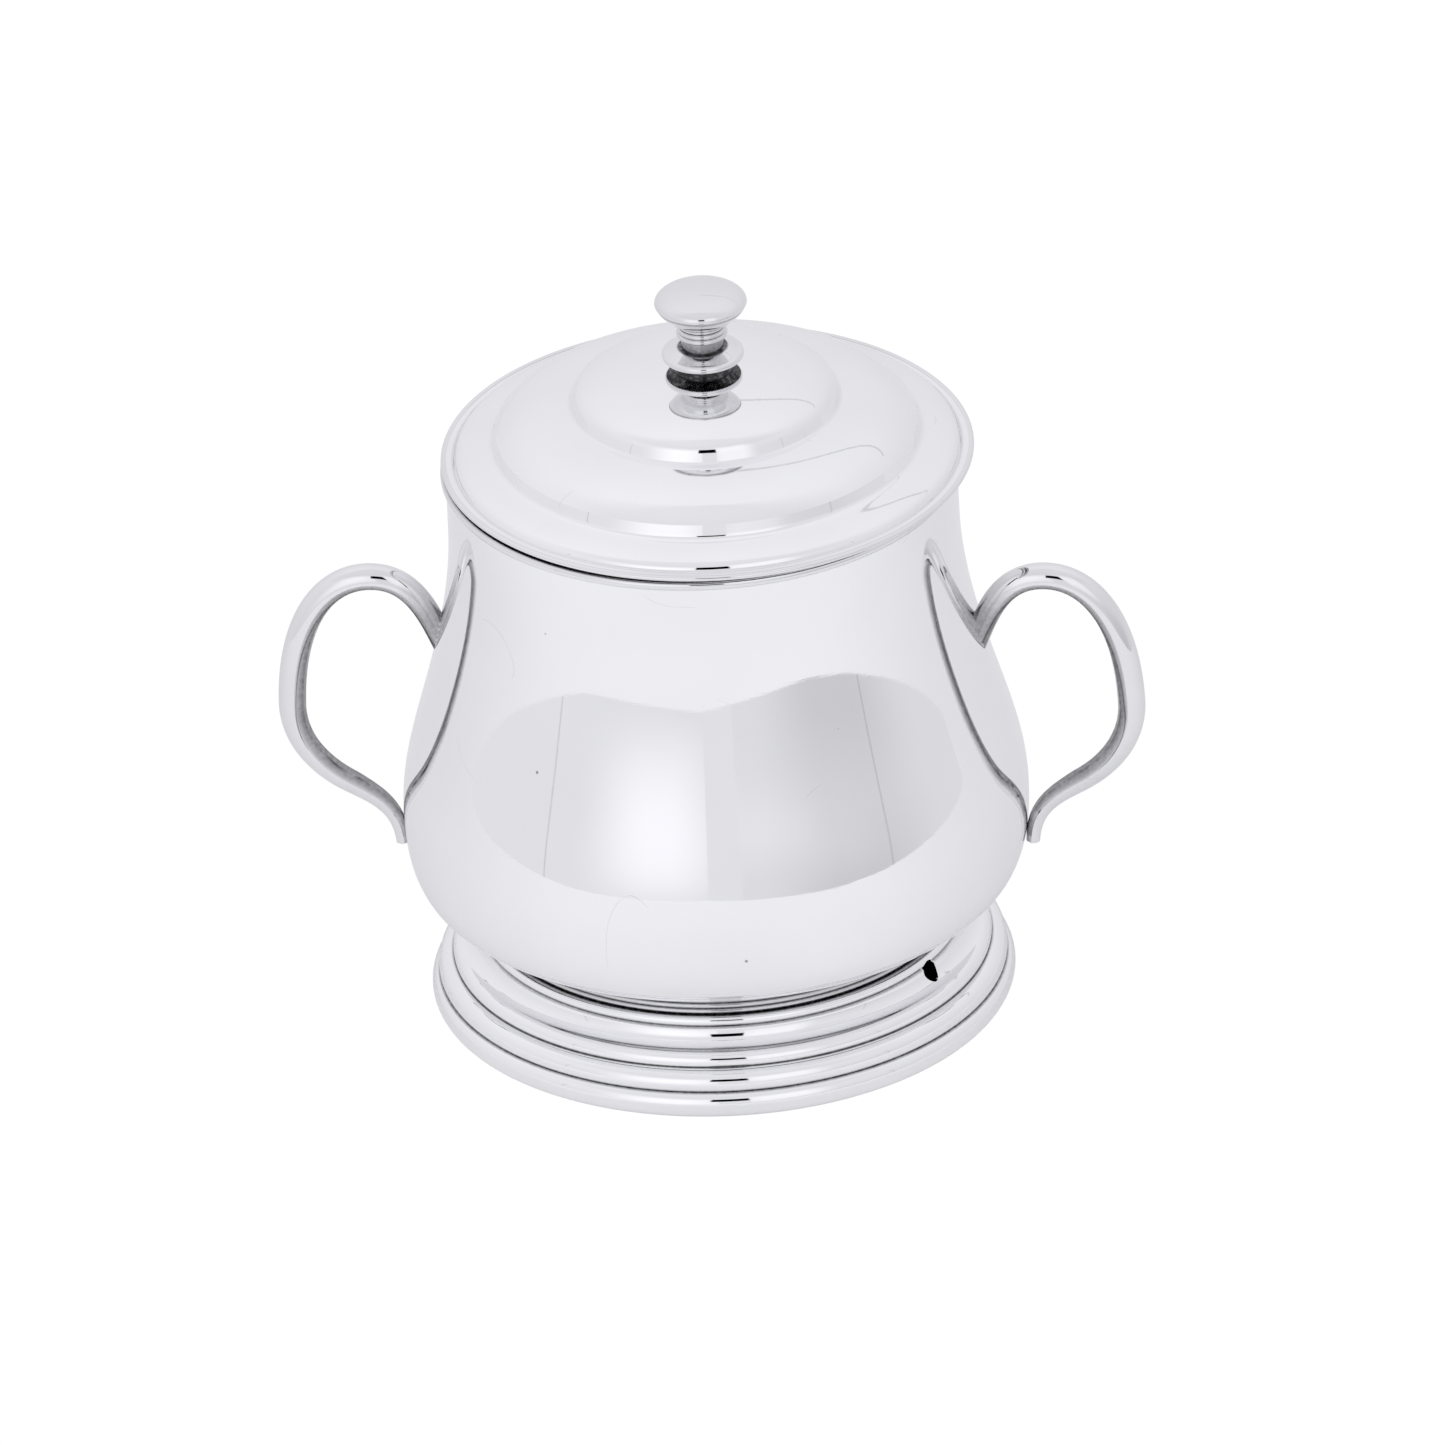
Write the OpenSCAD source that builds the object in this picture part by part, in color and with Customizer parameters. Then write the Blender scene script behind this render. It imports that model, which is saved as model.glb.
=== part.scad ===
/* [Body] */
// Greatest diameter of the belly
belly_d = 104.3; // [100:0.1:108]
// Height of the belly's widest ring
belly_z = 35.7; // [34:0.1:38]
// Diameter of the upright wall below the mouth
mouth_d = 85.3; // [82:0.1:87]
// Height of the mouth's top edge
mouth_z = 99.5; // [98:0.1:102]
// Thickness of the spun silver sheet
wall = 1.0; // [0.8:0.1:1.2]
// Diameter of the half-round wire round the mouth
mouth_wire_d = 1.8; // [1.4:0.1:2.2]

/* [Foot] */
// Greatest diameter of the foot
foot_d = 97.2; // [94:0.1:100]
// Height of the foot, up to the reeded neck
foot_h = 15.1; // [15:0.1:16]
// Diameter of the reeded neck, over its reeds
neck_d = 78.0; // [77:0.1:79]
// Number of fine reeds round the neck
neck_reeds = 4; // [3:1:5]
// Diameter of the vent hole in the foot
vent_d = 3.4; // [2.5:0.1:3.5]
// Direction of the vent hole, from the right handle towards the front
vent_angle = 28; // [0:1:90]

/* [Handles] */
// Overall width across both handles
handles_w = 145.0; // [143:0.1:148]
// Greatest thickness of the cast loop, seen from the front
loop_t = 4.6; // [4:0.1:5]
// Greatest depth of the cast loop, front to back
loop_w = 4.8; // [4:0.1:5.5]

/* [Lid] */
// Greatest diameter of the lid
lid_d = 89.0; // [88.6:0.1:91]
// Height of the lid's crown above the middle of its rim wire
crown_h = 16.6; // [16.2:0.1:17.2]
// Diameter of the half-round wire round the lid's edge
lid_wire_d = 0.9; // [0.8:0.1:1]
// Height of the dark seam left open under the rim wire
seam_h = 0.7; // [0.6:0.05:0.8]
// Distance the loose lid sits off centre, towards the right handle
lid_shift = 1.1; // [0:0.1:1.2]
// Difference in radius between the inside of the mouth and the lid's bezel
bezel_gap = 1.7; // [1.5:0.1:2]
// Depth of the bezel below the lid's seat
bezel_h = 6; // [4:0.5:10]

/* [Knob] */
// Diameter of the knob's button
knob_d = 15.5; // [14:0.1:16]
// Rise of the button's domed top
button_rise = 2.9; // [2.5:0.1:3.5]
// Diameter of the disc under the knob
knob_collar_d = 13.8; // [13:0.1:14.4]
// Thread diameter of the knob's stud
stud_d = 3; // [2.5:0.5:4]

/* [Hidden] */
$fn = 180;
silver = [0.86, 0.87, 0.89];
bright = [0.93, 0.94, 0.95];
shade = [0.62, 0.64, 0.67];

belly_r = belly_d / 2;
mouth_r = mouth_d / 2;
neck_r = neck_d / 2;
curve_steps = 10;

// Foot: centres and radii of its beads, and of the hollow moulding above them
foot_r = foot_d / 2;
bead_r = [2.6, 2.5, 1.9];
bead_at = [[foot_r - 2.6, 2.6], [foot_r - 3.7, 5.8], [foot_r - 5.6, 8.8]];
cavetto_r = 3.4;
cavetto_turn = 77.5;
cavetto_low = bead_at[2] + bead_r[2] * [cos(cavetto_turn), sin(cavetto_turn)];
cavetto_at = cavetto_low + (cavetto_r - 0.01) * [cos(cavetto_turn), sin(cavetto_turn)];
cavetto_high = cavetto_at + cavetto_r * [cos(190), sin(190)];
top_bead_r = 0.95;
top_bead_at = [neck_r + 0.6, foot_h - 0.8];
foot_sheet = 1.2;
foot_hole_r = foot_r - 5.1;
plate_t = 0.8;
plate_z = 0.8;
vent_z = foot_h - 2.3;

// Neck: its reeds stand proud of a plain ring
neck_h = 4.1;
reed_r = 0.5;
neck_in_r = neck_r - 1.6;
body_z = foot_h + neck_h;

// Lid: levels and radii
lid_r = lid_d / 2;
seat_gap = 0.05;
lid_z = mouth_z + seam_h + lid_wire_d / 2;
seat_z = mouth_z + seat_gap;
lid_edge_r = lid_r - lid_wire_d;
lid_sheet = 0.9;
flange_under = 0.1;
seat_r = mouth_r - 0.1;
bezel_r = mouth_r - wall - bezel_gap;
crown_flat_r = 5.5;
crown_z = lid_z + crown_h;

// Knob: levels and radii
knob_r = knob_d / 2;
knob_collar_r = knob_collar_d / 2;
stud_r = stud_d / 2;
collar_h = 3.7;
collar_foot_r = 5;
collar_edge_z = crown_z + 2.3;
collar_edge_r = 0.7;
finial_z = crown_z + collar_h;
button_z = crown_z + 11.9;
finial_neck_r = 3.55;
ring_r = 0.45;
ring_low = 2.55;
ring_pitch = 0.9;
ring_step = 0.15;
stud_low = crown_z - 5.3;
stud_high = crown_z + 8;
washer_r = 4;
washer_t = 0.8;
nut_flats = 5.5;
nut_h = 2.4;

// Handle loop: four cubic curves, as [across, up] points of one side
loop_x = handles_w / 2 - loop_t / 2;
loop_points = [
    [[loop_x - 26.6, 62.4], [loop_x - 24.0, 68.6], [loop_x - 21.8, 77.1], [loop_x - 13.9, 77.1]],
    [[loop_x - 13.9, 77.1], [loop_x - 6.1, 77.1], [loop_x - 0.3, 68.7], [loop_x, 53.5]],
    [[loop_x, 53.5], [loop_x + 0.2, 46.5], [loop_x - 4.1, 41.3], [loop_x - 9.4, 38.3]],
    [[loop_x - 9.4, 38.3], [loop_x - 13.7, 35.6], [loop_x - 17.2, 33.4], [loop_x - 17.5, 27.0]]];
loop_steps = 12;
// Share of the full section at the ends of the four curves
loop_taper = [0.86, 1.0, 1.0, 0.86, 0.5];
// Where the section's sharp side edges lie, as a share of its half thickness
edge_at = -0.21;
outer_steps = 9;

function bezier(p, t) =
    pow(1 - t, 3) * p[0] + 3 * pow(1 - t, 2) * t * p[1] + 3 * (1 - t) * t * t * p[2] + pow(t, 3) * p[3];
function curve(p, n = curve_steps) = [for (i = [0 : n - 1]) bezier(p, i / n)];
function arc(c, r, from, to, n = curve_steps) =
    [for (i = [0 : n]) let (a = from + (to - from) * i / n) c + r * [cos(a), sin(a)]];
// The same line, moved sideways to its right by t
function beside(line, t) =
    let (last = len(line) - 1)
    [for (i = [0 : last])
        let (d = line[min(i + 1, last)] - line[max(i - 1, 0)])
        line[i] + t * [d[1], -d[0]] / norm(d)];
function reversed(line) = [for (i = [len(line) - 1 : -1 : 0]) line[i]];

// Outer line of the body, from the mouth down to the flat land on the neck
body_line = concat(
    [[mouth_r, mouth_z]],
    curve([[mouth_r, belly_z + 52.4], [mouth_r, belly_z + 41.4],
           [belly_r - 7.1, belly_z + 30.9], [belly_r - 3.95, belly_z + 19.9]]),
    curve([[belly_r - 3.95, belly_z + 19.9], [belly_r - 1.67, belly_z + 11.9],
           [belly_r, belly_z + 6.5], [belly_r, belly_z]]),
    curve([[belly_r, belly_z], [belly_r, belly_z - 7],
           [belly_r - 1.2, belly_z - 12], [belly_r - 4.7, belly_z - 13.5]]),
    curve([[belly_r - 4.7, belly_z - 13.5], [belly_r - 7.6, belly_z - 14.8],
           [neck_r + 3, body_z], [neck_r, body_z]]),
    [[neck_r, body_z]]);

// Outer line of the lid, from the crown down over both domes and out to the rolled edge
lid_line = concat(
    curve([[crown_flat_r, crown_z], [11.5, crown_z], [16.9, lid_z + 15.75], [20.66, lid_z + 13.32]]),
    arc([18.7, lid_z + 10.3], 3.6, 57, 22, 6),
    [[22.56, lid_z + 10.36]],
    curve([[22.9, lid_z + 10.05], [27.2, lid_z + 9.45], [31.9, lid_z + 9.2], [35.2, lid_z + 5.3]]),
    [[35.2, lid_z + 5.3]],
    arc([36.67, lid_z + 3.96], 1, 198, 256, 5),
    curve([[36.6, lid_z + 2.94], [37.9, lid_z + 2.62], [39.4, lid_z + 2.45], [41.1, lid_z + 1.75]], 6),
    arc([40.32, lid_z - 0.09], 2, 67, 20, 6),
    [[lid_edge_r - 1.15, lid_z + 0.3], [lid_edge_r, lid_z + 0.3]]);

module body_solid_outline() {
    polygon(concat([[0, mouth_z]], body_line, [[0, body_z]]));
}

module bowl_body() {
    color(silver)
    rotate_extrude()
    polygon(concat(
        body_line,
        [[0, body_z], [0, body_z + wall], [neck_r - 2, body_z + wall]],
        reversed(beside([for (p = body_line) if (p[1] > body_z + wall / 2) p], wall))));
}

module mouth_wire() {
    color(bright)
    rotate_extrude()
    intersection() {
        translate([mouth_r, mouth_z - mouth_wire_d / 2])
        circle(d = mouth_wire_d);
        translate([mouth_r, mouth_z - mouth_wire_d])
        square([mouth_wire_d, mouth_wire_d]);
    }
}

module neck_collar() {
    color(shade)
    rotate_extrude()
    union() {
        translate([neck_in_r, foot_h])
        square([neck_r - reed_r - neck_in_r, neck_h]);
        for (i = [0 : neck_reeds - 1])
            translate([neck_r - reed_r, foot_h + neck_h * (i + 0.5) / neck_reeds])
            circle(r = reed_r, $fn = 48);
    }
}

module foot_outline() {
    difference() {
        union() {
            for (i = [0 : 2])
                translate(bead_at[i])
                circle(r = bead_r[i]);
            translate(top_bead_at)
            circle(r = top_bead_r, $fn = 48);
            polygon([[neck_in_r, 0], [bead_at[0][0], 0], bead_at[0], bead_at[1],
                     cavetto_low, cavetto_at, cavetto_high, top_bead_at,
                     [top_bead_at[0], foot_h], [neck_in_r, foot_h]]);
        }
        translate(cavetto_at)
        circle(r = cavetto_r);
        translate([top_bead_at[0], foot_h])
        square([2, 2]);
    }
}

module foot_shell() {
    color(silver)
    difference() {
        rotate_extrude()
        difference() {
            foot_outline();
            polygon(concat(
                [[0, -1], [foot_hole_r, -1], [foot_hole_r, plate_z + plate_t]],
                arc(bead_at[0], bead_r[0] - foot_sheet, -45, 45, 4),
                arc(bead_at[1], bead_r[1] - foot_sheet, -10, 50, 4),
                arc(bead_at[2], bead_r[2] - foot_sheet, -10, 80, 4),
                arc(cavetto_at, cavetto_r + foot_sheet, 235, 195, 4),
                [[neck_in_r, foot_h - 1], [neck_in_r, foot_h + 1], [0, foot_h + 1]]));
        }
        rotate([0, 90, -vent_angle])
        translate([-vent_z, 0, neck_r - 4])
        cylinder(d = vent_d, h = 12, $fn = 48);
    }
}

module base_plate() {
    color(shade)
    translate([0, 0, plate_z])
    cylinder(r = foot_hole_r, h = plate_t);
}

// Section of the loop: convex outside, sharp side edges, low ridge inside
function loop_section(a, b) = concat(
    [for (i = [0 : outer_steps]) let (t = 90 - 180 * i / outer_steps)
        [a * (edge_at + (1 - edge_at) * cos(t)), b * sin(t)]],
    [[-0.86 * a, -0.42 * b], [-a, 0], [-0.86 * a, 0.42 * b]]);

loop_line = concat(
    [for (k = [0 : 3], p = curve(loop_points[k], loop_steps)) p],
    [loop_points[3][3]]);
loop_share = [for (i = [0 : len(loop_line) - 1])
    let (k = min(floor(i / loop_steps), 3), t = i / loop_steps - k)
    loop_taper[k] + (loop_taper[k + 1] - loop_taper[k]) * t];

module loop_tube() {
    last = len(loop_line) - 1;
    sides = len(loop_section(1, 1));
    rings = [for (i = [0 : last])
        let (d = loop_line[min(i + 1, last)] - loop_line[max(i - 1, 0)],
             out = [-d[1], d[0]] / norm(d),
             s = loop_share[i])
        for (q = loop_section(s * loop_t / 2, s * loop_w / 2))
            [loop_line[i][0] + q[0] * out[0], q[1], loop_line[i][1] + q[0] * out[1]]];
    polyhedron(
        points = rings,
        faces = concat(
            [[for (j = [0 : sides - 1]) j]],
            [for (i = [0 : last - 1], j = [0 : sides - 1])
                let (a = i * sides + j, b = i * sides + (j + 1) % sides)
                [a, a + sides, b + sides, b]],
            [[for (j = [sides - 1 : -1 : 0]) last * sides + j]]));
}

module right_handle() {
    color(bright)
    difference() {
        loop_tube();
        rotate_extrude()
        body_solid_outline();
    }
}

module left_handle() {
    color(bright)
    mirror([1, 0, 0])
    difference() {
        loop_tube();
        rotate_extrude()
        body_solid_outline();
    }
}

module lid_shell() {
    under = lid_z - flange_under;
    color(silver)
    translate([lid_shift, 0, 0])
    difference() {
        rotate_extrude()
        polygon(concat(
            [[0, crown_z]], lid_line,
            [[lid_edge_r, under], [bezel_r - 2.2, under]],
            reversed([for (p = beside(lid_line, lid_sheet)) if (p[0] < bezel_r - 3.4) p]),
            [[0, crown_z - lid_sheet]]));
        translate([0, 0, crown_z - 3])
        cylinder(r = stud_r, h = 6, $fn = 48);
    }
}

module lid_rim_wire() {
    color(bright)
    translate([lid_shift, 0, 0])
    rotate_extrude()
    union() {
        translate([lid_r - lid_wire_d / 2, lid_z])
        circle(d = lid_wire_d, $fn = 64);
        translate([lid_edge_r, lid_z - lid_wire_d / 2 + seat_gap])
        square([lid_r - lid_wire_d / 2 - lid_edge_r, lid_wire_d - 2 * seat_gap]);
    }
}

module lid_bezel() {
    color(shade)
    translate([lid_shift, 0, 0])
    rotate_extrude()
    polygon([
        [bezel_r - 0.9, seat_z - bezel_h], [bezel_r - 0.3, seat_z - bezel_h],
        [bezel_r, seat_z - bezel_h + 0.6], [bezel_r, seat_z], [seat_r, seat_z],
        [seat_r, lid_z - flange_under], [bezel_r - 0.9, lid_z - flange_under]]);
}

module knob_collar() {
    color(bright)
    translate([lid_shift, 0, 0])
    rotate_extrude()
    union() {
        polygon([
            [stud_r, crown_z], [collar_foot_r, crown_z], [collar_foot_r, crown_z + 0.8],
            [knob_collar_r - collar_edge_r, collar_edge_z - collar_edge_r],
            [knob_collar_r - collar_edge_r, collar_edge_z + collar_edge_r],
            [finial_neck_r + 0.5, finial_z], [stud_r, finial_z]]);
        translate([knob_collar_r - collar_edge_r, collar_edge_z])
        circle(r = collar_edge_r, $fn = 48);
    }
}

module knob_finial() {
    color(bright)
    translate([lid_shift, 0, 0])
    rotate_extrude()
    difference() {
        union() {
            polygon(concat(
                [[0, finial_z], [finial_neck_r, finial_z], [finial_neck_r, button_z - 3.8]],
                curve([[finial_neck_r + 0.45, button_z - 3.8], [5.2, button_z - 2.9],
                       [6.9, button_z - 1.9], [knob_r, button_z]]),
                [for (i = [0 : 14]) let (t = 90 * i / 14)
                    [knob_r * cos(t), button_z + button_rise * sin(t)]]));
            for (i = [0 : 2])
                translate([finial_neck_r + ring_step * (2 - i), finial_z + ring_low + ring_pitch * i])
                circle(r = ring_r, $fn = 48);
        }
        translate([-1, finial_z - 1])
        square([1 + stud_r, stud_high - finial_z + 1]);
    }
}

module knob_stud() {
    color(shade)
    translate([lid_shift, 0, stud_low])
    cylinder(r = stud_r, h = stud_high - stud_low, $fn = 48);
}

module knob_washer() {
    color(shade)
    translate([lid_shift, 0, crown_z - lid_sheet - washer_t])
    difference() {
        cylinder(r = washer_r, h = washer_t);
        translate([0, 0, -1])
        cylinder(r = stud_r, h = washer_t + 2, $fn = 48);
    }
}

module knob_nut() {
    color(shade)
    translate([lid_shift, 0, crown_z - lid_sheet - washer_t - nut_h])
    difference() {
        cylinder(d = nut_flats / cos(30), h = nut_h, $fn = 6);
        translate([0, 0, -1])
        cylinder(r = stud_r, h = nut_h + 2, $fn = 48);
    }
}

bowl_body();
mouth_wire();
neck_collar();
foot_shell();
base_plate();
left_handle();
right_handle();
lid_shell();
lid_rim_wire();
lid_bezel();
knob_collar();
knob_finial();
knob_stud();
knob_washer();
knob_nut();
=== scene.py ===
import math

import bmesh
import bpy
from mathutils import Matrix, Vector


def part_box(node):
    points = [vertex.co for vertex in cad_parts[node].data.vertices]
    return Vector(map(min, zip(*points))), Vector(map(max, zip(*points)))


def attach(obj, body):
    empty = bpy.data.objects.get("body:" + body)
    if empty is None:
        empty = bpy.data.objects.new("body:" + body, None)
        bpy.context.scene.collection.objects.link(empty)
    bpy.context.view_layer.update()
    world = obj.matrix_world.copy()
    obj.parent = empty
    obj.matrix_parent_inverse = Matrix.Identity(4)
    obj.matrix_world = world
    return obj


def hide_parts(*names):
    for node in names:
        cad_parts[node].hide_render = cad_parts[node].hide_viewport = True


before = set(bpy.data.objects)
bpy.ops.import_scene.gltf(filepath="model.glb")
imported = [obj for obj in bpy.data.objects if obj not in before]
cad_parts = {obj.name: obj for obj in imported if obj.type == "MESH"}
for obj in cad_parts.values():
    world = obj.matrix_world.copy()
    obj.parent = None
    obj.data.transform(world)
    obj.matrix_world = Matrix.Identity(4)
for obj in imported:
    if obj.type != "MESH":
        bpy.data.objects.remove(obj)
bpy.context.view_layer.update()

# Lines are (radius, height) points in millimetres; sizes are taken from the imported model.
MM = 0.001
AROUND = 256


def reach(node):
    """The greatest radius of a round CAD node."""
    low_corner, high_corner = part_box(node)
    return (high_corner.x - low_corner.x) / 2 / MM


def middle(node):
    """How far a CAD node's centre is to the right of the bowl's axis."""
    low_corner, high_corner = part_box(node)
    return (high_corner.x + low_corner.x) / 2 / MM


def low(node):
    """Height of the bottom of a CAD node."""
    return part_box(node)[0].z / MM


def high(node):
    """Height of the top of a CAD node."""
    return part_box(node)[1].z / MM


BELLY_R = reach("bowl_body")
BELLY_Z = 35.7
MOUTH_Z = high("bowl_body")
BODY_Z = low("bowl_body")
WALL = 1.0
MOUTH_WIRE_R = (high("mouth_wire") - low("mouth_wire")) / 2
MOUTH_R = reach("mouth_wire") - MOUTH_WIRE_R
NECK_R = reach("neck_collar")
NECK_IN_R = NECK_R - 1.6
FOOT_R = reach("foot_shell")
FOOT_H = low("neck_collar")
LID_X = middle("lid_rim_wire")
LID_R = reach("lid_rim_wire")
LID_WIRE_R = (high("lid_rim_wire") - low("lid_rim_wire")) / 2
LID_Z = low("lid_rim_wire") + LID_WIRE_R
LID_EDGE_R = reach("lid_shell")
LID_SHEET = 0.9
LID_UNDER_Z = LID_Z - 0.1
BEZEL_R = MOUTH_R - WALL - 1.7
CROWN_Z = high("lid_shell")
CROWN_FLAT_R = 5.5
KNOB_R = reach("knob_finial")
STUD_R = reach("knob_stud")
LOOP_T, LOOP_W = 4.6, 4.8
LOOP_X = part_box("right_handle")[1].x / MM - LOOP_T / 2


# ---------------------------------------------------------------- lines


def bezier(p, steps=40):
    """Points of a cubic curve."""
    line = []
    for i in range(steps + 1):
        t = i / steps
        k = ((1 - t) ** 3, 3 * (1 - t) ** 2 * t, 3 * (1 - t) * t * t, t ** 3)
        line.append(tuple(sum(w * q[axis] for w, q in zip(k, p)) for axis in (0, 1)))
    return line


def on_circle(centre, radius, angle):
    a = math.radians(angle)
    return centre[0] + radius * math.cos(a), centre[1] + radius * math.sin(a)


def arc(centre, radius, start, end, steps=24):
    """Points of an arc between two angles in degrees, counted from straight out."""
    return [on_circle(centre, radius, start + (end - start) * i / steps) for i in range(steps + 1)]


def angle_to(centre, point):
    """Angle in degrees, counted from straight out, at which a point lies from a centre."""
    return math.degrees(math.atan2(point[1] - centre[1], point[0] - centre[0]))


def crossing(c0, r0, c1, r1):
    """The outer one of the two points where two circles cross."""
    dx, dz = c1[0] - c0[0], c1[1] - c0[1]
    d = math.hypot(dx, dz)
    along = (d * d + r0 * r0 - r1 * r1) / (2 * d)
    off = math.sqrt(max(r0 * r0 - along * along, 0))
    points = [(c0[0] + (along * dx + s * off * dz) / d, c0[1] + (along * dz - s * off * dx) / d)
              for s in (1, -1)]
    return max(points)


def even(line, step):
    """The same line with its points at equal distances."""
    runs = [math.dist(a, b) for a, b in zip(line, line[1:])]
    total = sum(runs)
    count = max(1, round(total / step))
    out, i, done = [line[0]], 0, 0.0
    for k in range(1, count):
        want = total * k / count
        while done + runs[i] < want:
            done += runs[i]
            i += 1
        t = (want - done) / runs[i]
        out.append(tuple(a + (b - a) * t for a, b in zip(line[i], line[i + 1])))
    return out + [line[-1]]


def joined(pieces, step):
    """Several lines one after another, each evenly divided, so that their corners stay sharp."""
    out = []
    for piece in pieces:
        out += even(piece, step)[1 if out and math.dist(out[-1], piece[0]) < 0.01 else 0:]
    return out


def beside(line, t):
    """The same line moved sideways, to its right, by t."""
    out = []
    for i, p in enumerate(line):
        a, b = line[max(i - 1, 0)], line[min(i + 1, len(line) - 1)]
        d = math.dist(a, b)
        out.append((p[0] + t * (b[1] - a[1]) / d, p[1] - t * (b[0] - a[0]) / d))
    return out


def near(dark_spots):
    """How dark a point is painted: each spot is a point, its reach and its darkness; the spots hold tarnish
    in hollows and painted shade in gaps.
    """
    def darkness(r, z):
        value = 0.0
        for (cr, cz), size, strength in dark_spots:
            t = max(0.0, 1 - math.dist((r, z), (cr, cz)) / size)
            value = max(value, strength * t * t * (3 - 2 * t))
        return value
    return darkness


# ---------------------------------------------------------------- meshes


def add_mesh(name, points, faces, patina_and_shade=None, satin=None, crease=30):
    """A piece from points in millimetres, with its darkness (tarnish and painted shade) and satin kept for
    the finish to read.
    """
    mesh = bpy.data.meshes.new(name)
    mesh.from_pydata([tuple(c * MM for c in p) for p in points], [], faces)
    for layer, values in (("patina_and_shade", patina_and_shade), ("satin", satin)):
        attribute = mesh.attributes.new(layer, "FLOAT", "POINT")
        attribute.data.foreach_set("value", values or [0.0] * len(points))
    obj = bpy.data.objects.new(name, mesh)
    bpy.context.scene.collection.objects.link(obj)
    finish_mesh(obj, crease)
    return obj


def finish_mesh(obj, crease=30):
    """Turns the faces outwards and shades smooth, except across real edges."""
    mesh = obj.data
    bm = bmesh.new()
    bm.from_mesh(mesh)
    bmesh.ops.recalc_face_normals(bm, faces=bm.faces)
    bm.to_mesh(mesh)
    bm.free()
    mesh.shade_smooth()
    mesh.set_sharp_from_angle(angle=math.radians(crease))


def lathe(name, line, at=0.0, dark=None, dull=None, shape=None, around=AROUND, crease=30):
    """A solid turned from a line: one that starts and ends on the axis, or a closed ring.

    dark and dull give the darkness (tarnish and painted shade) and the satin of a point; shape changes its
    radius on the way round.
    """
    on_axis = [abs(r) < 1e-6 for r, z in line]
    starts, points, patina_and_shade, satin = [], [], [], []
    for (r, z), pole in zip(line, on_axis):
        starts.append(len(points))
        turns = [0.0] if pole else [2 * math.pi * j / around for j in range(around)]
        for a in turns:
            radius = shape(r, z, a) if shape else r
            points.append((at + radius * math.cos(a), radius * math.sin(a), z))
        patina_and_shade += [dark(r, z) if dark else 0.0] * len(turns)
        satin += [dull(r, z) if dull else 0.0] * len(turns)
    pairs = list(zip(range(len(line)), range(1, len(line))))
    if not on_axis[0]:
        pairs.append((len(line) - 1, 0))
    faces = []
    for i, k in pairs:
        for j in range(around):
            n = (j + 1) % around
            a = [starts[i]] if on_axis[i] else [starts[i] + j, starts[i] + n]
            b = [starts[k]] if on_axis[k] else [starts[k] + n, starts[k] + j]
            if len(a) + len(b) > 2:
                faces.append(a + b)
    return add_mesh(name, points, faces, patina_and_shade, satin, crease)


def cut(obj, tool):
    """Takes the tool away from the piece, and removes the tool."""
    modifier = obj.modifiers.new("cut", "BOOLEAN")
    modifier.operation = "DIFFERENCE"
    modifier.solver = "EXACT"
    modifier.object = tool
    bpy.context.view_layer.update()
    depsgraph = bpy.context.evaluated_depsgraph_get()
    mesh = bpy.data.meshes.new_from_object(obj.evaluated_get(depsgraph))
    obj.modifiers.clear()
    obj.data = mesh
    bpy.data.objects.remove(tool)
    finish_mesh(obj)


# ---------------------------------------------------------------- the bowl


def body_line():
    """Outside of the body, from the mouth down to its land on the neck."""
    r, z, m = BELLY_R, BELLY_Z, MOUTH_R
    waist, widest, low_turn = (r - 3.95, z + 19.9), (r, z), (r - 4.7, z - 13.5)
    line = [(m, MOUTH_Z)]
    line += bezier([(m, z + 52.4), (m, z + 41.4), (r - 7.1, z + 30.9), waist])
    line += bezier([waist, (r - 1.67, z + 11.9), (r, z + 6.5), widest])[1:]
    line += bezier([widest, (r, z - 7), (r - 1.2, z - 12), low_turn])[1:]
    return line + bezier([low_turn, (r - 7.6, z - 14.8), (NECK_R + 3, BODY_Z), (NECK_R, BODY_Z)])[1:]


def make_body():
    line = even(body_line(), 0.7)
    inside = beside([p for p in even(body_line(), 2) if p[1] > BODY_Z + WALL / 2], WALL)
    bottom = [(NECK_R * k / 8, BODY_Z) for k in range(7, 0, -1)]
    floor = [((NECK_R - 2) * k / 8, BODY_Z + WALL) for k in range(1, 9)]
    hidden = set(inside + floor + bottom)
    # Painted shade: the mouth's top in the gap under the lid, and the bottom where the belly meets the neck
    dark = near([((MOUTH_R - WALL / 2, MOUTH_Z), 0.9, 0.8), ((NECK_R + 1, BODY_Z), 2.0, 0.4)])
    return lathe("spun_body", [(0, BODY_Z + WALL)] + floor + inside[::-1] + line + bottom + [(0, BODY_Z)],
                 dark=dark, dull=lambda r, z: 1.0 if (r, z) in hidden or r == 0 else 0.0)


def make_mouth_wire():
    centre = (MOUTH_R, MOUTH_Z - MOUTH_WIRE_R)
    # Painted shade on the wire's top, in the gap under the lid; its lower edge is darkened where it meets
    # the body
    dark = near([((MOUTH_R, MOUTH_Z), 0.95, 1.0), ((MOUTH_R, MOUTH_Z - 2 * MOUTH_WIRE_R), 0.45, 0.7)])
    return lathe("mouth_bead", arc(centre, MOUTH_WIRE_R, -90, 90, 16), dark=dark)


def make_neck():
    reeds, reed_r = 4, 0.5
    pitch = (BODY_Z - FOOT_H) / reeds
    line = [(NECK_IN_R, FOOT_H)]
    for i in range(reeds):
        line += arc((NECK_R - reed_r, FOOT_H + pitch * (i + 0.5)), reed_r, -90, 90, 12)

    # Painted shade over the whole neck, which lies in shade under the belly, with tarnish deepening it in
    # the grooves
    def dark(r, z):
        return 0.2 + 0.5 * min(1, (NECK_R - r) / reed_r)
    return lathe("reeded_neck", line + [(NECK_IN_R, BODY_Z)], dark=dark)


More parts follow.
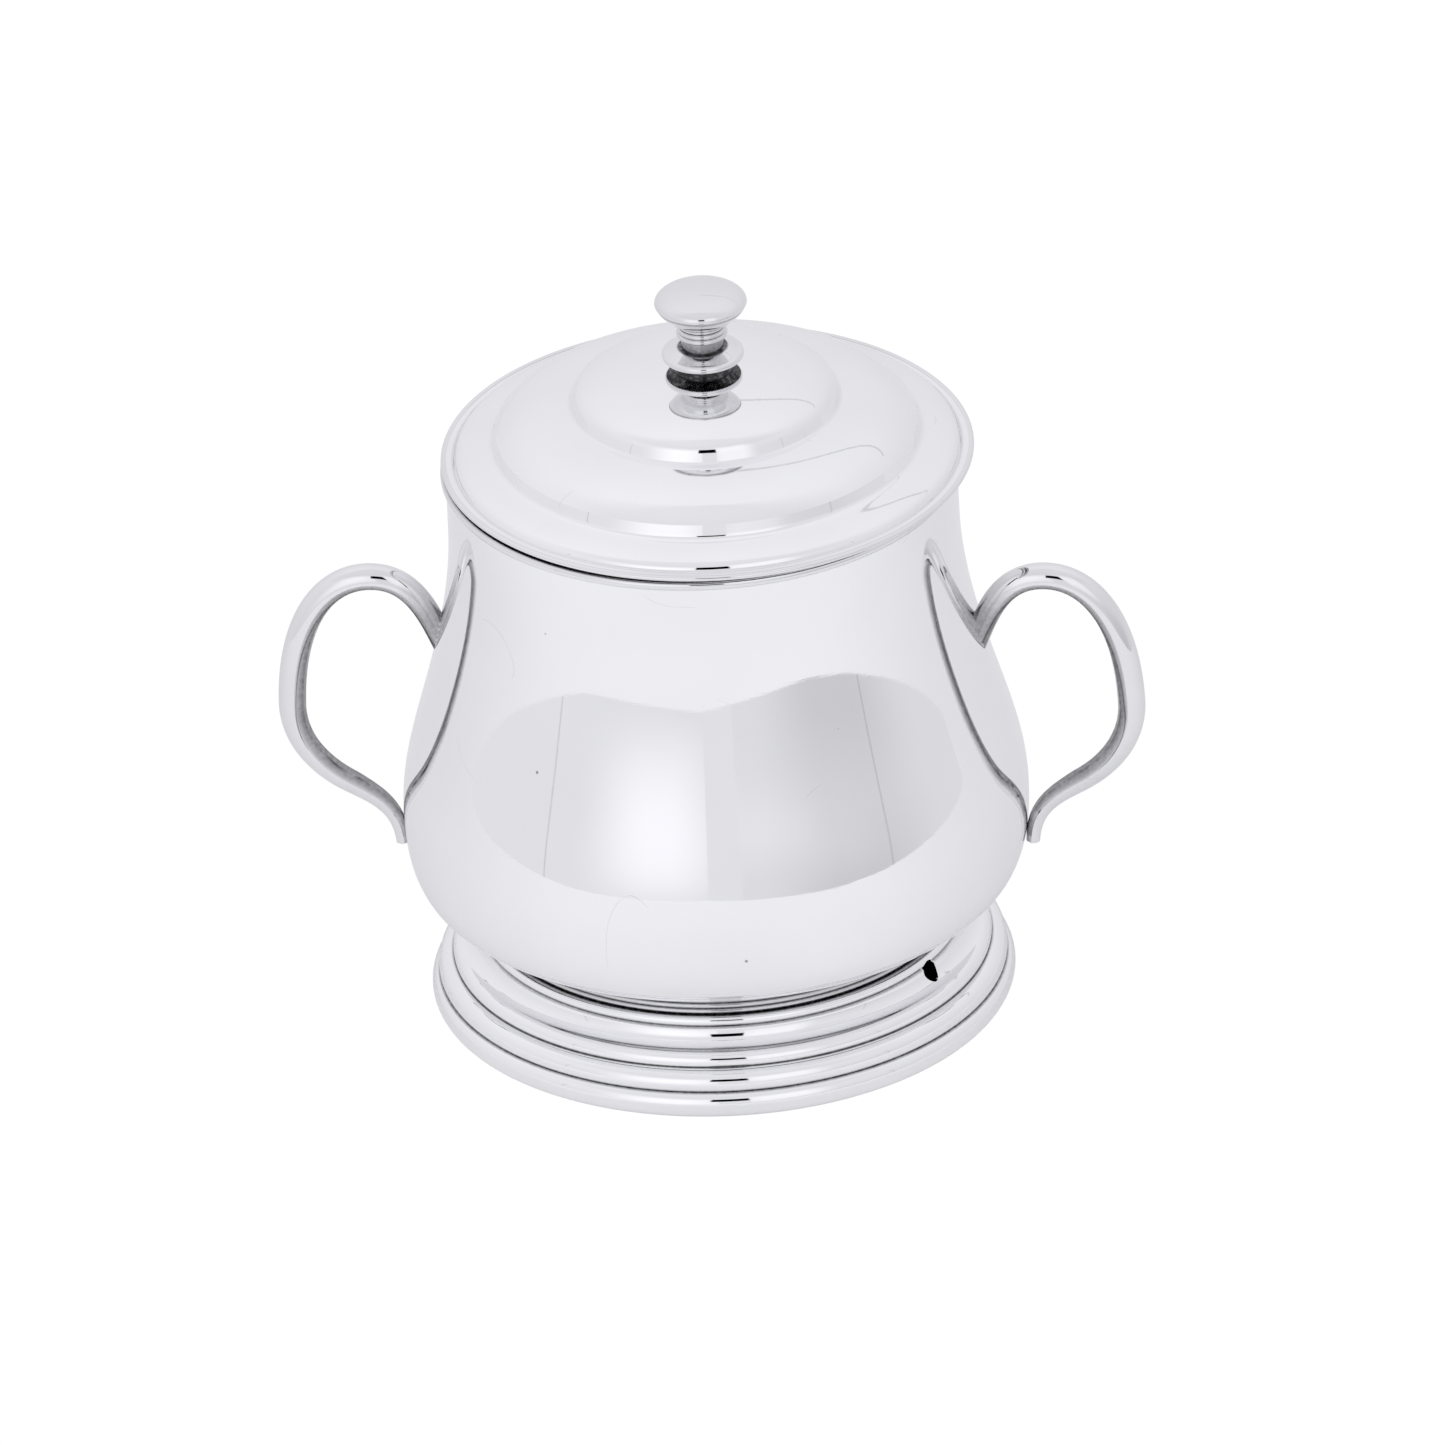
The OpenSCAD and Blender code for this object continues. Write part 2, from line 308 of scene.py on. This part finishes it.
BEADS = [((FOOT_R - 2.6, 2.6), 2.6), ((FOOT_R - 3.7, 5.8), 2.5), ((FOOT_R - 5.6, 8.8), 1.9)]
CAVETTO_R = 3.4
CAVETTO_TURN = 77.5
CAVETTO_AT = on_circle(BEADS[2][0], BEADS[2][1] + CAVETTO_R, CAVETTO_TURN)
TOP_BEAD = ((NECK_R + 0.6, FOOT_H - 0.8), 0.95)
FOOT_HOLE_R = FOOT_R - 5.1
FOOT_SHEET = 1.2
VENT_D, VENT_Z, VENT_ANGLE = 3.4, FOOT_H - 2.3, 28


def make_foot():
    first, second = crossing(*BEADS[0], *BEADS[1]), crossing(*BEADS[1], *BEADS[2])
    turns = [(-90, angle_to(BEADS[0][0], first)),
             (angle_to(BEADS[1][0], first), angle_to(BEADS[1][0], second)),
             (angle_to(BEADS[2][0], second), CAVETTO_TURN)]
    line = [(FOOT_HOLE_R, 0)]
    for (centre, r), (start, end) in zip(BEADS, turns):
        line += arc(centre, r, start, end, 26)[0 if len(line) == 1 else 1:]
    line += arc(CAVETTO_AT, CAVETTO_R, CAVETTO_TURN + 180, 190, 26)[1:]
    line += arc(*TOP_BEAD, -40, 57, 12)
    line += [(NECK_R, FOOT_H), (NECK_IN_R, FOOT_H), (NECK_IN_R, FOOT_H - 1)]
    line += arc(CAVETTO_AT, CAVETTO_R + FOOT_SHEET, 195, 235, 6)
    for (centre, r), (start, end) in zip(reversed(BEADS), ((80, -10), (50, -10), (45, -45))):
        line += arc(centre, r - FOOT_SHEET, start, end, 6)
    line += [(FOOT_HOLE_R, 1.6)]
    groove = (TOP_BEAD[0][0] + 0.8, FOOT_H - 1.4)
    contact = (BEADS[0][0][0], 0)
    # Tarnish where the beads meet and in the groove; painted shade on the bottom bead where it stands on
    # the floor; darker where the neck sits
    dark = near([(first, 0.55, 0.95), (second, 0.5, 0.8), (groove, 0.6, 0.7),
                 (contact, 1.5, 0.7), ((NECK_R, FOOT_H), 0.5, 0.9)])
    foot = lathe("turned_foot", line, dark=dark, crease=20)
    bpy.ops.mesh.primitive_cylinder_add(vertices=64, radius=VENT_D / 2 * MM, depth=12 * MM)
    drill = bpy.context.object
    turn = math.radians(-VENT_ANGLE)
    out = Vector((math.cos(turn), math.sin(turn), 0))
    drill.rotation_euler = (0, math.radians(90), turn)
    drill.location = out * (NECK_R + 2) * MM + Vector((0, 0, VENT_Z * MM))
    cut(foot, drill)
    return foot


def make_foot_plate():
    bottom, top = low("base_plate"), high("base_plate")
    return lathe("foot_plate", [(0, bottom), (FOOT_HOLE_R, bottom), (FOOT_HOLE_R, top), (0, top)],
                 dull=lambda r, z: 1.0)


# ---------------------------------------------------------------- handles


def loop_curves():
    x = LOOP_X
    crown, side, elbow = (x - 13.9, 77.1), (x, 53.5), (x - 9.4, 38.3)
    return [
        [(x - 26.6, 62.4), (x - 24.0, 68.6), (x - 21.8, 77.1), crown],
        [crown, (x - 6.1, 77.1), (x - 0.3, 68.7), side],
        [side, (x + 0.2, 46.5), (x - 4.1, 41.3), elbow],
        [elbow, (x - 13.7, 35.6), (x - 17.2, 33.4), (x - 17.5, 27.0)],
    ]


LOOP_TAPER = [0.86, 1.0, 1.0, 0.86, 0.5]
EDGE_AT = -0.21
# One half of the inner side of the loop's section: corners with how dark each is painted, from the edge to
# the ridge; this darkness is painted shade and painted reflection of the bowl on the side that faces it
INNER_HALF = [(-0.35, -0.8, 0.3), (-0.8, -0.46, 0.72), (-0.86, -0.42, 0.62), (-0.985, -0.06, 0.6)]
RIDGE = (-1.0, 0.0, 1.0)
INNER_SIDE = INNER_HALF + [RIDGE] + [(out, -across, dark) for out, across, dark in reversed(INNER_HALF)]


def loop_section(a, b):
    """Convex outside, sharp side edges and a low ridge inside, as (out, across, darkness) points, the
    darkness being painted shade on the inner side.
    """
    outer = [(a * (EDGE_AT + (1 - EDGE_AT) * math.cos(t)), b * math.sin(t), 0.0)
             for t in (math.radians(90 - 180 * i / 28) for i in range(29))]
    return outer + [(a * out, b * across, dark) for out, across, dark in INNER_SIDE]


def make_loop(name, side):
    """A cast loop, swept along its curves and cut to the body; side is -1 for left and 1 for right."""
    steps, root_steps = 28, 22
    curves = [bezier(c, steps) for c in loop_curves()]
    line = [p for c in curves for p in c[:-1]] + [curves[-1][-1]]
    points, patina_and_shade, sides = [], [], len(loop_section(1, 1))
    for i, p in enumerate(line):
        k = min(i // steps, len(curves) - 1)
        share = LOOP_TAPER[k] + (LOOP_TAPER[k + 1] - LOOP_TAPER[k]) * (i / steps - k)
        a, b = line[max(i - 1, 0)], line[min(i + 1, len(line) - 1)]
        d = math.dist(a, b)
        out = ((a[1] - b[1]) / d, (b[0] - a[0]) / d)
        root = max(0.0, 1 - i / root_steps)
        for off, across, dark in loop_section(share * LOOP_T / 2, share * LOOP_W / 2):
            points.append((side * (p[0] + off * out[0]), across, p[1] + off * out[1]))
            patina_and_shade.append(max(dark, 0.5 * min(1, root * 2)))
    faces = [list(range(sides)), [(len(line) - 1) * sides + j for j in range(sides)]]
    for i in range(len(line) - 1):
        for j in range(sides):
            n = (j + 1) % sides
            faces.append([i * sides + j, i * sides + n, (i + 1) * sides + n, (i + 1) * sides + j])
    loop = add_mesh(name, points, faces, patina_and_shade)
    body = [(0, MOUTH_Z)] + beside(even(body_line(), 1.5), 0.2) + [(0, BODY_Z)]
    cut(loop, lathe("cutter", body, around=128))
    return loop


# ---------------------------------------------------------------- lid and knob


def lid_pieces():
    """Outside of the lid in separate runs: a dome, a bulge, their steep feet, and a rolled edge."""
    z = LID_Z
    shoulder = ((18.7, z + 10.3), 3.6)
    roll = ((40.32, z - 0.09), 2)
    dome_end, brow = (20.66, z + 13.32), (22.56, z + 10.36)
    bulge, bulge_end = (22.9, z + 10.05), (35.2, z + 5.3)
    dome = bezier([(CROWN_FLAT_R, CROWN_Z), (11.2, CROWN_Z - 0.55), (17.4, z + 15.43), dome_end])[:-1]
    flange = bezier([(36.6, z + 2.94), (37.9, z + 2.62), (39.4, z + 2.45), (41.1, z + 1.75)])[:-1]
    return [
        dome + arc(*shoulder, 57, 22),
        [on_circle(*shoulder, 22), brow],
        [brow, bulge],
        bezier([bulge, (27.2, z + 9.45), (31.9, z + 9.2), bulge_end]),
        [bulge_end, (35.72, z + 3.65)],
        arc((36.67, z + 3.96), 1, 198, 256) + flange + arc(*roll, 67, 20),
        [on_circle(*roll, 20), (LID_EDGE_R - 1.15, z + 0.3), (LID_EDGE_R, z + 0.3)],
    ]


def make_lid():
    line = joined(lid_pieces(), 0.25)
    inside = [p for p in beside(joined(lid_pieces(), 1.2), LID_SHEET) if p[0] < BEZEL_R - 3.4]
    flat = [(CROWN_FLAT_R * k / 4, CROWN_Z) for k in range(1, 4)]
    flat_under = [(r, CROWN_Z - LID_SHEET) for r, z in flat]
    hidden = set(inside + flat_under)
    dark = near([((LID_EDGE_R - 1.15, LID_Z + 0.3), 0.4, 0.2)])
    outside = [(0, CROWN_Z)] + flat + line
    land = [(LID_EDGE_R, LID_UNDER_Z), (BEZEL_R - 2.2, LID_UNDER_Z)]
    return lathe("domed_lid", outside + land + inside[::-1] + flat_under[::-1] + [(0, CROWN_Z - LID_SHEET)],
                 at=LID_X, dark=dark, dull=lambda r, z: 1.0 if (r, z) in hidden else 0.0, crease=15)


def make_lid_rim():
    centre = (LID_R - LID_WIRE_R, LID_Z)
    half = LID_WIRE_R - 0.05
    # Painted shade on the wire's underside, in the gap over the mouth
    dark = near([((centre[0] - 0.3, LID_Z - LID_WIRE_R), 0.7, 1.0)])
    return lathe("lid_rim", [(LID_EDGE_R, LID_Z - half)] + arc(centre, LID_WIRE_R, -88, 88, 24)
                 + [(LID_EDGE_R, LID_Z + half)], at=LID_X, dark=dark)


def make_bezel():
    seat, bottom, top = MOUTH_Z + 0.05, low("lid_bezel"), LID_UNDER_Z
    r, seat_r = BEZEL_R, reach("lid_bezel")
    # Painted shade on the outer wall, in the gap between the lid and the mouth
    dark = near([((seat_r, (seat + top) / 2), 1.5, 1.0)])
    return lathe("lid_seat_ring", [
        (r - 0.9, bottom), (r - 0.3, bottom), (r, bottom + 0.6), (r, seat), (seat_r, seat),
        (seat_r, (seat + top) / 2), (seat_r, top), (r - 0.9, top)],
        at=LID_X, dark=dark, dull=lambda r, z: 1.0)


def make_knob_disc():
    z, top = low("knob_collar"), high("knob_collar")
    edge_r = 0.7
    centre = (reach("knob_collar") - edge_r, z + 2.3)
    line = [(STUD_R, z), (5, z), (5, z + 0.8)] + arc(centre, edge_r, -90, 90, 20)
    line += even([(centre[0], centre[1] + edge_r), (4.05, top)], 0.4)[1:] + [(STUD_R, top)]

    # Painted shade with tarnish: the disc's underside, and its top round the knob's foot
    def dark(r, height):
        under = 0.97 if height < centre[1] - 0.6 else 0.0
        return max(under, 0.9 if r < 4.4 else 0.0)
    return lathe("knob_disc", line, at=LID_X, dark=dark)


def make_knob():
    z, top = low("knob_finial"), high("knob_finial")
    neck, rise, ring_r = 3.55, 2.9, 0.45
    edge = top - rise
    line = [(0, z + 4.6), (STUD_R, z + 4.6), (STUD_R, z), (neck, z), (neck, z + 2)]
    for i in range(3):
        line += arc((neck + 0.15 * (2 - i), z + 2.55 + 0.9 * i), ring_r, -82, 82, 14)
    line += even([(neck, edge - 3.8)] + bezier([(neck + 0.45, edge - 3.8), (5.2, edge - 2.9),
                                                (6.9, edge - 1.9), (KNOB_R, edge)]), 0.15)
    line += [(KNOB_R * math.cos(t), edge + rise * math.sin(t))
             for t in (math.pi / 2 * i / 40 for i in range(1, 40))]

    # Painted shade at the knob's foot on the disc; the ring grooves, the lower stem and a band just under
    # the cap's edge are darkened too
    def dark(r, height):
        if height > edge - 3.3:
            return 0.45 if edge - 0.75 < height < edge - 0.25 else 0.0
        return 0.8 if height < z + 0.9 else 0.5 if r < neck + 0.25 else 0.12
    return lathe("knob_button", line + [(0, top)], at=LID_X, dark=dark)


def make_stud():
    """The knob's stud, with a real turning thread."""
    bottom, top = low("knob_stud"), high("knob_stud")
    pitch, depth = 0.5, 0.28

    def thread(r, z, a):
        t = (z / pitch - a / (2 * math.pi)) % 1.0
        return r - depth * abs(2 * t - 1) if r > STUD_R - 0.01 else r
    side = even([(STUD_R, bottom + 0.2), (STUD_R, top - 0.2)], 0.07)
    return lathe("threaded_stud", [(0, bottom), (STUD_R - 0.4, bottom)] + side
                 + [(STUD_R - 0.4, top), (0, top)], at=LID_X, shape=thread, around=48, crease=40)


def make_washer():
    bottom, top, r = low("knob_washer"), high("knob_washer"), reach("knob_washer")
    bevel = 0.1
    return lathe("round_washer", [
        (STUD_R, bottom), (r - bevel, bottom), (r, bottom + bevel),
        (r, top - bevel), (r - bevel, top), (STUD_R, top)],
        at=LID_X, around=96)


def make_nut():
    """A hexagonal nut with chamfered corners."""
    bottom, top = low("knob_nut"), high("knob_nut")
    corner_r = reach("knob_nut")
    flat_r = corner_r * math.cos(math.radians(30))
    chamfer = 0.4

    def hexagon(r, z, a):
        off = (math.degrees(a) + 30) % 60 - 30
        return min(r, flat_r / math.cos(math.radians(30 - abs(off))))
    start_r = flat_r - 0.1
    rise = [(start_r + (corner_r - start_r) * k / 5, chamfer * k / 5) for k in range(6)]
    line = [(STUD_R, bottom)] + [(r, bottom + dz) for r, dz in rise]
    line += [(r, top - dz) for r, dz in reversed(rise)] + [(STUD_R, top)]
    return lathe("hex_nut", line, at=LID_X, shape=hexagon, around=96, crease=20)


# ---------------------------------------------------------------- node writing


class Nodes:
    """Small helper that writes sums and products as shader nodes."""

    def __init__(self, tree):
        self.nodes, self.links = tree.nodes, tree.links

    def new(self, kind, **values):
        node = self.nodes.new(kind)
        for name, value in values.items():
            socket = node.inputs[name.replace("_", " ")]
            if isinstance(value, bpy.types.NodeSocket):
                self.links.new(value, socket)
            else:
                socket.default_value = value
        return node

    def math(self, operation, *values):
        node = self.nodes.new("ShaderNodeMath")
        node.operation = operation
        for socket, value in zip(node.inputs, values):
            if isinstance(value, (int, float)):
                socket.default_value = value
            else:
                self.links.new(value, socket)
        return node.outputs[0]

    def add(self, *values):
        total = values[0]
        for value in values[1:]:
            total = self.math("ADD", total, value)
        return total

    def times(self, *values):
        total = values[0]
        for value in values[1:]:
            total = self.math("MULTIPLY", total, value)
        return total

    def rise(self, value, start, end, low=0.0, high=1.0):
        """A smooth step from low to high as value goes from start to end."""
        node = self.nodes.new("ShaderNodeMapRange")
        node.interpolation_type = "SMOOTHSTEP"
        for name, number in zip(("From Min", "From Max", "To Min", "To Max"), (start, end, low, high)):
            node.inputs[name].default_value = number
        self.links.new(value, node.inputs["Value"])
        return node.outputs["Result"]

    def band(self, value, start, end, soft):
        """1 between start and end, and 0 outside, with soft borders."""
        return self.times(self.rise(value, start - soft, start + soft),
                          self.rise(value, end - soft, end + soft, 1.0, 0.0))

    def mix(self, factor, a, b):
        """A colour between a and b."""
        node = self.nodes.new("ShaderNodeMix")
        node.data_type = "RGBA"
        for index, value in ((0, factor), (6, a), (7, b)):
            if isinstance(value, bpy.types.NodeSocket):
                self.links.new(value, node.inputs[index])
            else:
                node.inputs[index].default_value = value
        return node.outputs[2]

    def noise(self, vector, scale, detail=2.0, rough=0.5):
        node = self.new("ShaderNodeTexNoise", Vector=vector, Scale=scale, Detail=detail, Roughness=rough)
        return node.outputs[0]


# ---------------------------------------------------------------- finishes

# Near-black colour of tarnish, also used for painted shade
TARNISH_AND_SHADE = (0.035, 0.034, 0.036, 1)


def metal(name, bright, cloudy, gloss, dullness, bump, turned=True):
    """Polished metal with cloudy toning, polishing lines, hair scratches, and a darkness read from the
    mesh: tarnish in its hollows and painted shade in gaps, under parts and at the floor.

    gloss is the roughness where it shines, dullness what its satin inner faces add to that, and turned
    sets polishing lines that run round the axis, in place of lines along the piece.
    """
    material = bpy.data.materials.new(name)
    material.use_nodes = True
    write = Nodes(material.node_tree)
    shader = write.nodes["Principled BSDF"]
    place = write.nodes.new("ShaderNodeTexCoord").outputs["Object"]
    clouds = write.noise(place, 45.0, 3.0)
    grain = write.noise(place, 1400.0, 2.0)
    x, y, z = write.new("ShaderNodeSeparateXYZ", Vector=place).outputs
    radius = write.math("SQRT", write.add(write.times(x, x), write.times(y, y)))
    turn = write.math("ARCTAN2", y, x)
    if turned:
        along = write.new("ShaderNodeCombineXYZ", X=radius, Y=z, Z=write.times(turn, 0.0012)).outputs[0]
    else:
        along = write.new("ShaderNodeCombineXYZ", X=write.times(x, 0.3), Y=y,
                          Z=write.times(z, 0.3)).outputs[0]
    lines = write.noise(along, 2600.0, 3.0, 0.65)
    loops = write.noise(place, 30.0, 1.0)
    hair = write.rise(write.math("ABSOLUTE", write.add(loops, -0.47)), 0.0003, 0.0012, 1.0, 0.0)
    hair = write.times(hair, write.rise(write.noise(place, 90.0, 0.0), 0.64, 0.68))
    pits = write.new("ShaderNodeTexVoronoi", Vector=place, Scale=95.0).outputs["Distance"]
    pits = write.rise(pits, 0.018, 0.034, 1.0, 0.0)
    pits = write.times(pits, write.rise(write.noise(place, 60.0, 0.0), 0.60, 0.63))
    marks = write.math("MAXIMUM", write.times(hair, 0.15), write.times(pits, 0.6))
    # Darkness from the mesh: tarnish in hollows and painted shade in gaps, under parts and at the floor
    patina_and_shade_node = write.new("ShaderNodeAttribute")
    patina_and_shade_node.attribute_name = "patina_and_shade"
    uneven = write.rise(grain, 0.2, 0.8, 0.86, 1.14)
    patina_and_shade = write.math("MINIMUM", write.times(patina_and_shade_node.outputs["Fac"], uneven), 0.99)
    patina_and_shade = write.math("MAXIMUM", patina_and_shade, marks)
    inner = write.new("ShaderNodeAttribute")
    inner.attribute_name = "satin"
    satin = inner.outputs["Fac"]
    tone = write.mix(write.rise(clouds, 0.3, 0.7), (*bright, 1), (*cloudy, 1))
    colour = write.mix(patina_and_shade, tone, TARNISH_AND_SHADE)
    rough = write.add(gloss, write.times(write.rise(lines, 0.35, 0.75), gloss * 0.8),
                    write.times(write.rise(clouds, 0.45, 0.75), gloss * 0.5),
                    write.times(patina_and_shade, 0.16), write.times(satin, dullness))
    height = write.add(write.times(lines, 0.5), write.times(grain, 0.35),
                     write.times(satin, write.noise(place, 900.0, 4.0), 3.0), write.times(marks, -1.0))
    raised = write.new("ShaderNodeBump", Strength=bump, Distance=0.00005, Height=height)
    write.links.new(colour, shader.inputs["Base Color"])
    write.links.new(rough, shader.inputs["Roughness"])
    write.links.new(raised.outputs[0], shader.inputs["Normal"])
    shader.inputs["Metallic"].default_value = 1
    return material


FINISHES = {
    "silver_spun": metal("spun silver", (0.915, 0.915, 0.925), (0.895, 0.895, 0.905), 0.022, 0.22, 0.05),
    "silver_cast": metal("cast silver", (0.83, 0.83, 0.84), (0.79, 0.79, 0.80), 0.03, 0.2, 0.08,
                         turned=False),
    "silver_inside": metal("inner silver", (0.84, 0.84, 0.83), (0.78, 0.77, 0.76), 0.12, 0.12, 0.3),
    "steel": metal("steel", (0.60, 0.61, 0.63), (0.52, 0.53, 0.55), 0.2, 0.1, 0.4, turned=False),
}

PIECES = [
    (make_body(), "bowl", "bowl_body", "silver_spun"),
    (make_mouth_wire(), "bowl", "mouth_wire", "silver_cast"),
    (make_neck(), "bowl", "neck_collar", "silver_cast"),
    (make_foot(), "bowl", "foot_shell", "silver_spun"),
    (make_foot_plate(), "bowl", "base_plate", "silver_inside"),
    (make_loop("left_loop", -1), "bowl", "left_handle", "silver_cast"),
    (make_loop("right_loop", 1), "bowl", "right_handle", "silver_cast"),
    (make_lid(), "lid", "lid_shell", "silver_spun"),
    (make_lid_rim(), "lid", "lid_rim_wire", "silver_cast"),
    (make_bezel(), "lid", "lid_bezel", "silver_inside"),
    (make_knob_disc(), "lid", "knob_collar", "silver_cast"),
    (make_knob(), "lid", "knob_finial", "silver_cast"),
    (make_stud(), "lid", "knob_stud", "steel"),
    (make_washer(), "lid", "knob_washer", "steel"),
    (make_nut(), "lid", "knob_nut", "steel"),
]
for piece, body, node, slot in PIECES:
    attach(piece, body)
    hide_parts(node)
    piece.data.materials.clear()
    piece.data.materials.append(FINISHES[slot])


# ---------------------------------------------------------------- floor, light and camera


SHEET_END, LOBE_RIGHT, LOBE_LEFT, FLARE = 430, 118, 95, 60


def floor_edge(turn):
    """Distance from the bowl, in millimetres, at which the white sheet ends towards the camera side."""
    lobe = min(1, abs(math.sin(math.radians(turn))) / 0.7)
    if turn > 0:
        return SHEET_END - LOBE_RIGHT * lobe + FLARE * max(0, turn - 62) / 50
    return SHEET_END - LOBE_LEFT * lobe + FLARE * max(0, -turn - 50) / 50


def white_floor():
    """The floor itself, seen by the camera only."""
    bpy.ops.mesh.primitive_plane_add(size=40)
    floor = bpy.context.object
    floor.name = "floor"
    material = bpy.data.materials.new("white floor")
    material.use_nodes = True
    write = Nodes(material.node_tree)
    place = write.nodes.new("ShaderNodeTexCoord").outputs["Object"]
    paper = write.rise(write.noise(place, 3.0), 0.3, 0.7, 1.0, 1.02)
    glow = write.new("ShaderNodeEmission", Color=(1, 1, 1, 1), Strength=paper)
    write.links.new(glow.outputs[0], write.nodes["Material Output"].inputs["Surface"])
    floor.data.materials.append(material)
    floor.visible_glossy = False
    floor.visible_diffuse = False
    floor.visible_shadow = False


def white_sheet():
    """The sheet under the bowl, seen only in the silver: lit by the world, with a painted glow that grows
    towards the front.
    """
    below = -0.02
    points = [(0, 0, below)]
    for turn in range(-180, 180, 4):
        r = floor_edge(turn) if abs(turn) <= 104 else 3000
        a = math.radians(turn)
        points.append((r * math.sin(a), -r * math.cos(a), below))
    n = len(points) - 1
    sheet = add_mesh("sheet", points, [[0, 1 + i, 1 + (i + 1) % n] for i in range(n)])
    material = bpy.data.materials.new("white sheet")
    material.use_nodes = True
    write = Nodes(material.node_tree)
    write.nodes.remove(write.nodes["Principled BSDF"])
    place = write.nodes.new("ShaderNodeTexCoord").outputs["Object"]
    x, y, z = write.new("ShaderNodeSeparateXYZ", Vector=place).outputs
    away = write.math("SQRT", write.add(write.times(x, x), write.times(y, y), 0.0001))
    # Painted glow: emission stronger towards the front of the sheet
    front = write.rise(write.math("DIVIDE", write.times(y, -1.0), away), -0.7, 0.9, 0.02, 0.17)
    matt = write.new("ShaderNodeBsdfDiffuse", Color=(0.88, 0.88, 0.88, 1))
    glow = write.new("ShaderNodeEmission", Color=(1, 1, 1.03, 1), Strength=front)
    both = write.nodes.new("ShaderNodeAddShader")
    write.links.new(matt.outputs[0], both.inputs[0])
    write.links.new(glow.outputs[0], both.inputs[1])
    write.links.new(both.outputs[0], write.nodes["Material Output"].inputs["Surface"])
    sheet.data.materials.append(material)
    sheet.visible_camera = False


VIEW_TURN, VIEW_TILT, VIEW_ROLL = math.radians(5.3), math.radians(28.5), math.radians(2.6)
VIEW_WIDTH = 240.8 * MM
VIEW_AIM = Vector((-0.383, 43.33)) * MM
VIEW_AWAY = 800 * MM


def make_camera():
    """A camera with parallel rays, a little to the right of the front, looking down and slightly rolled."""
    data = bpy.data.cameras.new("camera")
    data.type = "ORTHO"
    data.ortho_scale = VIEW_WIDTH
    camera = bpy.data.objects.new("camera", data)
    bpy.context.scene.collection.objects.link(camera)
    bpy.context.scene.camera = camera
    s, c = math.sin(VIEW_TURN), math.cos(VIEW_TURN)
    st, ct = math.sin(VIEW_TILT), math.cos(VIEW_TILT)
    back = Vector((s * ct, -c * ct, st))
    level, upright = Vector((c, s, 0)), Vector((-s * st, c * st, ct))
    right = level * math.cos(VIEW_ROLL) - upright * math.sin(VIEW_ROLL)
    up = level * math.sin(VIEW_ROLL) + upright * math.cos(VIEW_ROLL)
    camera.location = right * VIEW_AIM.x + up * VIEW_AIM.y + back * VIEW_AWAY
    camera.rotation_mode = "QUATERNION"
    camera.rotation_quaternion = Matrix((right, up, back)).transposed().to_quaternion()


# Things that the silver reflects, in degrees round from the front and up
LENS_TURN, LENS_TILT = (-2.3, 12.9), (20.5, 36.5)
STRIPE_TURN, STRIPE_TILT, STRIPE_LIGHT = (1.0, 13.0), (-40, 42), 0.82
SEAM_TURNS, SEAM_WIDTH = (-60.5, 69.6), 0.6
TOP_SEAM_TILT = (43.6, 44.4)


def make_world():
    """A white light tent as the silver reflects it, with a lens, a grey stripe and thin seams."""
    world = bpy.data.worlds.new("studio")
    bpy.context.scene.world = world
    world.use_nodes = True
    sky = Nodes(world.node_tree)
    where = sky.nodes.new("ShaderNodeTexCoord").outputs["Generated"]
    x, y, z = sky.new("ShaderNodeSeparateXYZ", Vector=where).outputs
    degree = 180 / math.pi
    turn = sky.times(sky.math("ARCTAN2", x, sky.times(y, -1.0)), degree)
    tilt = sky.times(sky.math("ARCSINE", z), degree)
    over = sky.times(sky.math("ARCTAN2", z, y), degree)
    light = sky.add(sky.rise(tilt, -10, 75, 0.79, 0.93), sky.times(x, -0.03))
    left_glow = sky.times(sky.band(turn, -36, 1.5, 16), sky.band(tilt, -4, 34, 12), 0.26)
    right_glow = sky.times(sky.band(turn, 12, 42, 8), sky.band(tilt, 6, 44, 8), 0.2)
    dark_side = sky.times(sky.band(turn, 34, 80, 16), sky.band(tilt, -40, 0, 12), -0.13)
    high_front = sky.times(sky.band(turn, -80, 80, 30), sky.band(tilt, 38, 95, 10), -0.09)
    light = sky.add(light, left_glow, right_glow, dark_side, high_front)
    stripe = sky.times(sky.band(turn, *STRIPE_TURN, 0.4), sky.band(tilt, *STRIPE_TILT, 3))
    light = sky.add(sky.times(light, sky.math("SUBTRACT", 1.0, stripe)), sky.times(stripe, STRIPE_LIGHT))
    side_seams = sky.add(*(sky.band(turn, start, start + SEAM_WIDTH, 0.15) for start in SEAM_TURNS))
    top_seam = sky.times(sky.band(over, *TOP_SEAM_TILT, 0.2),
                         sky.band(sky.math("DIVIDE", x, y), -0.1, 1.2, 0.02), 0.25)
    seams = sky.add(sky.times(side_seams, sky.band(tilt, -50, 20, 2), 0.22), top_seam)
    lens = sky.times(sky.band(turn, *LENS_TURN, 0.6), sky.band(tilt, *LENS_TILT, 0.6))
    light = sky.times(light, sky.math("SUBTRACT", 1.0, sky.math("MAXIMUM", lens, seams)))
    colour = sky.nodes.new("ShaderNodeCombineXYZ")
    for socket, tint in zip(colour.inputs, (1.0, 1.0, 1.04)):
        sky.links.new(sky.times(light, tint), socket)
    sky.links.new(colour.outputs[0], sky.nodes["Background"].inputs["Color"])


white_floor()
white_sheet()
make_camera()
make_world()
bpy.context.scene.view_settings.view_transform = "Standard"
